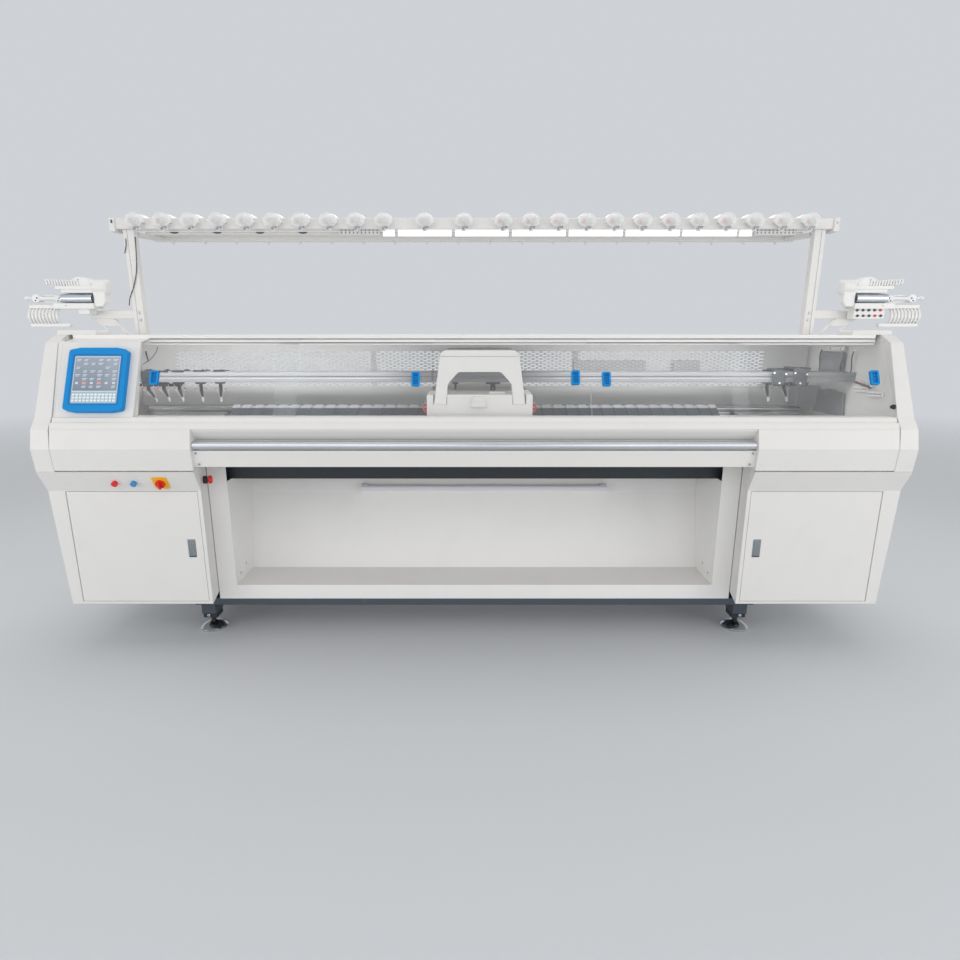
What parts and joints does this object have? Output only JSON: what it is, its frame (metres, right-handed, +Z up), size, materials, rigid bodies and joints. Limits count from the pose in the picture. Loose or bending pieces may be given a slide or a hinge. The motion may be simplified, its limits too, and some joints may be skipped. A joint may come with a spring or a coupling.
{
  "type": "flat knitting machine",
  "caption": "Computerised flat knitting machine with a carriage over two needle beds, sliding windows, operator terminal, fabric bin and overhead yarn stand.",
  "frame": {"origin": "on the floor under the middle of the whole machine", "axes": "+X along the needle beds to the right as the operator sees it, +Y to the back of the machine, +Z up"},
  "size_m": [4.364, 0.88, 1.9501],
  "materials": {
    "white_paint": "semi-gloss powder coat",
    "dark_paint": "satin",
    "grey_paint": "satin",
    "foot_steel": "plated",
    "lamp_cover": "milky",
    "latch_steel": "satin",
    "bar_paint": "smooth",
    "roller_rubber": "matt",
    "bed_steel": "ground",
    "ground_steel": "ground and plated",
    "rail_aluminium": "anodised",
    "carriage_plastic": "fine texture",
    "red_plastic": "smooth",
    "blue_plastic": "smooth",
    "yellow_plastic": "smooth",
    "black_plastic": "matt",
    "screen_plastic": "smooth",
    "tensioner_plastic": "smooth",
    "window_clear": "clear",
    "carrier_steel": "satin"
  },
  "bodies": {
    "frame": {"base_frame": "dark_paint", "levelling_feet": "foot_steel", "fabric_bin": "white_paint", "bin_side_panels": "white_paint", "bin_lamp": "lamp_cover", "left_cabinet": "white_paint", "right_cabinet": "white_paint", "end_plates": "white_paint", "left_nose_housing": "white_paint", "right_nose_housing": "white_paint", "electrics_boxes": "grey_paint", "front_beam_cover": "white_paint", "window_rail": "white_paint", "top_cover": "white_paint", "terminal_panel": "white_paint", "rear_guard": "white_paint", "rear_panels": "white_paint", "main_bed": "dark_paint", "front_needle_bed": "bed_steel", "carriage_rails": "ground_steel", "yarn_carrier_rails": "rail_aluminium", "main_switch_plate": "yellow_plastic", "emergency_stop_base": "black_plastic", "terminal_bezel": "blue_plastic", "terminal_face": "screen_plastic", "stand_posts": "white_paint", "stand_beam": "white_paint", "rear_guide_bar": "white_paint", "yarn_tensioners": "tensioner_plastic", "lamp_strip": "lamp_cover", "feeder_brackets": "white_paint", "feeder_bodies": "white_paint", "feeder_combs": "tensioner_plastic"},
    "window_1": {"window_1": "window_clear"},
    "window_2": {"window_2": "window_clear"},
    "window_3": {"window_3": "window_clear"},
    "window_4": {"window_4": "window_clear"},
    "window_5": {"window_5": "window_clear"},
    "yarn_carrier_1": {"yarn_carrier_1": "carrier_steel"},
    "yarn_carrier_2": {"yarn_carrier_2": "carrier_steel"},
    "yarn_carrier_3": {"yarn_carrier_3": "carrier_steel"},
    "yarn_carrier_4": {"yarn_carrier_4": "carrier_steel"},
    "yarn_carrier_5": {"yarn_carrier_5": "carrier_steel"},
    "yarn_carrier_6": {"yarn_carrier_6": "carrier_steel"},
    "yarn_carrier_7": {"yarn_carrier_7": "carrier_steel"},
    "left_door": {"left_door": "white_paint"},
    "right_door": {"right_door": "white_paint"},
    "left_door_latch": {"left_door_latch": "latch_steel"},
    "right_door_latch": {"right_door_latch": "latch_steel"},
    "operating_bar": {"operating_bar": "bar_paint"},
    "take_down_roller": {"take_down_roller": "roller_rubber"},
    "rear_needle_bed": {"rear_needle_bed": "bed_steel"},
    "red_button": {"red_button": "red_plastic"},
    "blue_button": {"blue_button": "blue_plastic"},
    "main_switch_knob": {"main_switch_knob": "red_plastic"},
    "emergency_stop_head": {"emergency_stop_head": "red_plastic"},
    "left_feeder_roller": {"left_feeder_roller": "ground_steel"},
    "right_feeder_roller": {"right_feeder_roller": "ground_steel"},
    "carriage": {"carriage_base": "carriage_plastic", "carriage_cover": "carriage_plastic"}
  },
  "joints": [
    {"name": "left_door_swing", "type": "hinge", "parent": "frame", "child": "left_door", "pos_m": [-1.7455, -0.373, 0.486], "axis": [0, 0, -1], "range_deg": [0, 100]},
    {"name": "right_door_swing", "type": "hinge", "parent": "frame", "child": "right_door", "pos_m": [1.7455, -0.373, 0.486], "axis": [0, 0, 1], "range_deg": [0, 100]},
    {"name": "left_latch_lift", "type": "hinge", "parent": "left_door", "child": "left_door_latch", "pos_m": [-1.236, -0.3745, 0.5192], "axis": [-1, 0, 0], "range_deg": [0, 30], "stiffness_Nm_per_rad": 0.2},
    {"name": "right_latch_lift", "type": "hinge", "parent": "right_door", "child": "right_door_latch", "pos_m": [1.236, -0.3745, 0.5192], "axis": [-1, 0, 0], "range_deg": [0, 30], "stiffness_Nm_per_rad": 0.2},
    {"name": "operating_bar_turn", "type": "hinge", "parent": "frame", "child": "operating_bar", "pos_m": [0, -0.408, 0.945], "axis": [1, 0, 0], "range_deg": [-20, 20], "stiffness_Nm_per_rad": 1},
    {"name": "red_button_press", "type": "slide", "parent": "frame", "child": "red_button", "axis": [0, 0.875, 0.4841], "range_m": [0, 0.004], "stiffness_N_per_m": 400},
    {"name": "blue_button_press", "type": "slide", "parent": "frame", "child": "blue_button", "axis": [0, 0.875, 0.4841], "range_m": [0, 0.004], "stiffness_N_per_m": 400},
    {"name": "main_switch_turn", "type": "hinge", "parent": "frame", "child": "main_switch_knob", "pos_m": [-1.325, -0.40068, 0.785], "axis": [0, -0.875, -0.4841], "range_deg": [0, 90]},
    {"name": "emergency_stop_press", "type": "slide", "parent": "frame", "child": "emergency_stop_head", "axis": [-0.9772, -0.2124, 0], "range_m": [0, 0.006], "stiffness_N_per_m": 500},
    {"name": "window_1_slide", "type": "slide", "parent": "frame", "child": "window_1", "axis": [1, 0, 0], "range_m": [0, 0.28]},
    {"name": "window_2_slide", "type": "slide", "parent": "frame", "child": "window_2", "axis": [1, 0, 0], "range_m": [-0.54, 0.28]},
    {"name": "window_3_slide", "type": "slide", "parent": "frame", "child": "window_3", "axis": [1, 0, 0], "range_m": [-0.28, 0.28]},
    {"name": "window_4_slide", "type": "slide", "parent": "frame", "child": "window_4", "axis": [1, 0, 0], "range_m": [-0.28, 0.57]},
    {"name": "window_5_slide", "type": "slide", "parent": "frame", "child": "window_5", "axis": [1, 0, 0], "range_m": [-0.28, 0]},
    {"name": "carriage_traverse", "type": "slide", "parent": "frame", "child": "carriage", "axis": [1, 0, 0], "range_m": [-1.4, 1.35]},
    {"name": "rear_bed_racking", "type": "slide", "parent": "frame", "child": "rear_needle_bed", "axis": [1, 0, 0], "range_m": [-0.025, 0.025]},
    {"name": "take_down_roller_turn", "type": "hinge", "parent": "frame", "child": "take_down_roller", "pos_m": [0, 0.01, 0.82], "axis": [1, 0, 0], "continuous": true},
    {"name": "left_feeder_roller_turn", "type": "hinge", "parent": "frame", "child": "left_feeder_roller", "pos_m": [-1.93, 0.16, 1.561], "axis": [1, 0, 0], "continuous": true},
    {"name": "right_feeder_roller_turn", "type": "hinge", "parent": "frame", "child": "right_feeder_roller", "pos_m": [1.93, 0.16, 1.561], "axis": [1, 0, 0], "continuous": true},
    {"name": "yarn_carrier_1_slide", "type": "slide", "parent": "frame", "child": "yarn_carrier_1", "axis": [1, 0, 0], "range_m": [-0.202, 3.218]},
    {"name": "yarn_carrier_2_slide", "type": "slide", "parent": "frame", "child": "yarn_carrier_2", "axis": [1, 0, 0], "range_m": [-0.262, 3.158]},
    {"name": "yarn_carrier_3_slide", "type": "slide", "parent": "frame", "child": "yarn_carrier_3", "axis": [1, 0, 0], "range_m": [-0.326, 3.094]},
    {"name": "yarn_carrier_4_slide", "type": "slide", "parent": "frame", "child": "yarn_carrier_4", "axis": [1, 0, 0], "range_m": [-0.419, 3.001]},
    {"name": "yarn_carrier_5_slide", "type": "slide", "parent": "frame", "child": "yarn_carrier_5", "axis": [1, 0, 0], "range_m": [-0.504, 2.916]},
    {"name": "yarn_carrier_6_slide", "type": "slide", "parent": "frame", "child": "yarn_carrier_6", "axis": [1, 0, 0], "range_m": [-3.112, 0.308]},
    {"name": "yarn_carrier_7_slide", "type": "slide", "parent": "frame", "child": "yarn_carrier_7", "axis": [1, 0, 0], "range_m": [-3.202, 0.218]}
  ]
}
